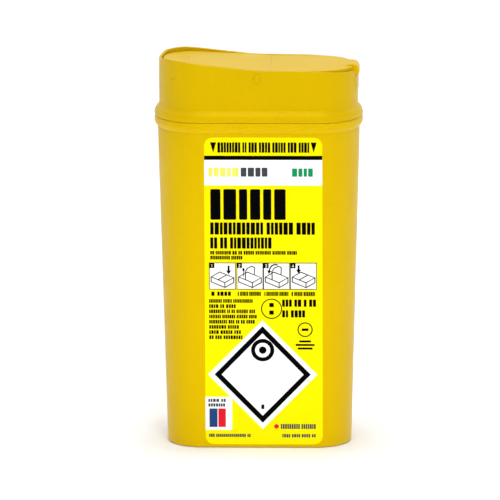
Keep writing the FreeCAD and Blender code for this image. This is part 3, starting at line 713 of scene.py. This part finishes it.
# square shoulder along the pad's front edge, so that the crease reads as one line
SHOULDER_SECTION = ((4.89, 0.0), (5.35, 0.0), (5.35, -0.35), (5.10, -0.35))
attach(lofted("pad_shoulder", cross_rings(SHOULDER_SECTION, 8), closure_plastic), "pad")

# thin bending strip between the pad and the fixed plate, hollowed a little along its middle
STRIP_TOP = pad_high.z - 0.03 * MM
STRIP_THICKNESS = 0.25 * MM
STRIP_HOLLOW = 0.05 * MM
STRIP_STEPS = 18
STRIP_EDGE = 0.99            # share of the half width where the strip's edge starts
strip_x0, strip_x1 = plate_low.x - 1.35 * MM, plate_low.x + 0.35 * MM
strip_half = pad_high.y - 0.1 * MM
across = (-1, -STRIP_EDGE, 0, STRIP_EDGE, 1)
STRIP_SECTION = [(y, 0) for y in across] + [(y, -1) for y in across[::-1]]
rings = []
for i in range(STRIP_STEPS + 1):
    share = i / STRIP_STEPS
    x = strip_x0 + share * (strip_x1 - strip_x0)
    top = STRIP_TOP - STRIP_HOLLOW * math.sin(math.pi * share) ** 2
    rings.append([Vector((x, y * strip_half, top + z * STRIP_THICKNESS)) for y, z in STRIP_SECTION])
strip = lofted("hinge_strip", rings, closure_plastic)
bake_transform(strip)

# moulding gate mark in the recess under the tub, as (radius, height) in millimetres
GATE_PROFILE = (
    (2.4, 0.62), (2.4, 0.42), (2.1, 0.36), (1.3, 0.38), (1.1, 0.20), (0.5, 0.12), (0.15, 0.12),
)
turns = [math.radians(10.0 * k) for k in range(36)]
rings = []
for radius, z in GATE_PROFILE:
    rings.append([Vector((radius * MM * math.cos(t), radius * MM * math.sin(t), z * MM)) for t in turns])
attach(lofted("gate_mark", rings, tub_plastic), "container")

# ---- studio ----

FLOOR_HALF = 9.0
FLOOR_GAP = 0.02 * MM        # the floor lies this far under the foot
FLOOR_PALE = (rgb(0.93, 0.93, 0.93), rgb(0.95, 0.95, 0.95))


def floor_material():
    """Pale floor with painted light: it glows softly, and the glow fades out near the object's foot as a
    painted contact shadow.
    """
    m = Material("studio_floor")
    tone = m.remap(m.noise(3.0, 3.0), 0.3, 0.7)
    away = m.add("ShaderNodeSeparateXYZ", {0: m.place}).outputs
    along = m.math("MAXIMUM", m.math("SUBTRACT", m.math("ABSOLUTE", away[0]), HALF_STRAIGHT), 0.0)
    deep = m.math("ABSOLUTE", away[1])
    square = m.math("ADD", m.math("POWER", along, 2.0), m.math("POWER", deep, 2.0))
    reach = m.math("SQRT", square)
    # painted light and painted shadow: the glow is zero at the foot, rises to 0.22 by 46 mm out, plus up
    # to 0.25 far off
    near, far = m.remap(reach, 0.020, 0.046, 0.0, 0.22), m.remap(reach, 0.1, 2.5, 0.0, 0.25)
    return m.finish({
        "Base Color": m.mix(tone, *FLOOR_PALE),
        "Roughness": 0.8,
        "Normal": m.bump(m.noise(900.0, 2.0), 0.05, 0.05 * MM),
        "Specular IOR Level": 0.05,
        "Emission Color": rgb(1.0, 1.0, 1.0),
        "Emission Strength": m.math("ADD", near, far),
    })


mesh = bpy.data.meshes.new("studio_floor")
level = base_low.z - FLOOR_GAP
corners = [(x * FLOOR_HALF, y * FLOOR_HALF, level) for x, y in ((-1, -1), (1, -1), (1, 1), (-1, 1))]
mesh.from_pydata(corners, [], [[0, 1, 2, 3]])
mesh.materials.append(floor_material())
floor = bpy.data.objects.new("studio_floor", mesh)
bpy.context.scene.collection.objects.link(floor)
floor.visible_glossy = False

# surroundings: dim in front of the object, bright behind it, by the Y part of each direction
DIM_AT, BRIGHT_AT = -0.45, 0.60
DIM, BRIGHT = 0.03, 1.25
world = bpy.data.worlds.new("studio_world")
world.use_nodes = True
tree = world.node_tree
tree.nodes.clear()
direction = tree.nodes.new("ShaderNodeTexCoord")
split = tree.nodes.new("ShaderNodeSeparateXYZ")
strength = tree.nodes.new("ShaderNodeMapRange")
strength.interpolation_type = "SMOOTHSTEP"
background = tree.nodes.new("ShaderNodeBackground")
out = tree.nodes.new("ShaderNodeOutputWorld")
tree.links.new(direction.outputs["Generated"], split.inputs[0])
tree.links.new(split.outputs["Y"], strength.inputs["Value"])
for key, value in ((1, DIM_AT), (2, BRIGHT_AT), (3, DIM), (4, BRIGHT)):
    strength.inputs[key].default_value = value
tree.links.new(strength.outputs[0], background.inputs["Strength"])
tree.links.new(background.outputs[0], out.inputs[0])
bpy.context.scene.world = world


def area_light(name, place, aim, size, power, in_reflections):
    """Soft rectangular lamp; place and aim in metres, size as (width, height)."""
    data = bpy.data.lights.new(name, "AREA")
    data.shape = "RECTANGLE"
    data.size, data.size_y = size
    data.energy = power
    lamp = bpy.data.objects.new(name, data)
    bpy.context.scene.collection.objects.link(lamp)
    lamp.location = place
    lamp.rotation_mode = "QUATERNION"
    lamp.rotation_quaternion = (Vector(aim) - Vector(place)).to_track_quat("-Z", "Y")
    lamp.visible_glossy = in_reflections
    lamp.visible_camera = False


MIDDLE = (0, 0, 0.08)
FOOT = (0, 0, 0.03)
area_light("key_light", (0.25, -1.7, 2.05), MIDDLE, (0.9, 0.7), 22.0, True)
area_light("top_light", (0.0, -0.5, 1.9), MIDDLE, (1.3, 0.9), 15.0, True)
area_light("front_light", (0.9, -2.5, 0.5), MIDDLE, (1.6, 1.2), 5.5, False)
area_light("low_fill", (0.0, -0.18, 0.012), FOOT, (0.24, 0.012), 0.085, False)

# ---- camera ----

AZIMUTH = 1.45
ELEVATION = 13.33
ROLL = -0.194                # degrees, as are the two above
DISTANCE = 3.0
LENS = 546.3
SENSOR = 36.0
TARGET = Vector((0, 0, 0.07595))
ASIDE = 3.605 * MM           # the object stands this far right of the picture's middle
BELOW = 1.243 * MM           # and this far below it

NEAR_CLIP, FAR_CLIP = 0.1, 50.0

turn, tilt = math.radians(AZIMUTH), math.radians(ELEVATION)
backward = Vector((math.sin(turn) * math.cos(tilt), -math.cos(turn) * math.cos(tilt), math.sin(tilt)))
rightward = Vector((math.cos(turn), math.sin(turn), 0))
upward = backward.cross(rightward)
camera_data = bpy.data.cameras.new("camera")
camera_data.lens = LENS
camera_data.sensor_width = SENSOR
camera_data.clip_start = NEAR_CLIP
camera_data.clip_end = FAR_CLIP
camera = bpy.data.objects.new("camera", camera_data)
bpy.context.scene.collection.objects.link(camera)
camera.location = TARGET + backward * DISTANCE - rightward * ASIDE + upward * BELOW
camera.rotation_euler = (-backward).to_track_quat("-Z", "Y").to_euler()
camera.rotation_euler.rotate_axis("Z", math.radians(ROLL))
bpy.context.scene.camera = camera

bpy.context.scene.view_settings.view_transform = "Standard"
bpy.context.scene.view_settings.look = "None"

bpy.context.view_layer.update()
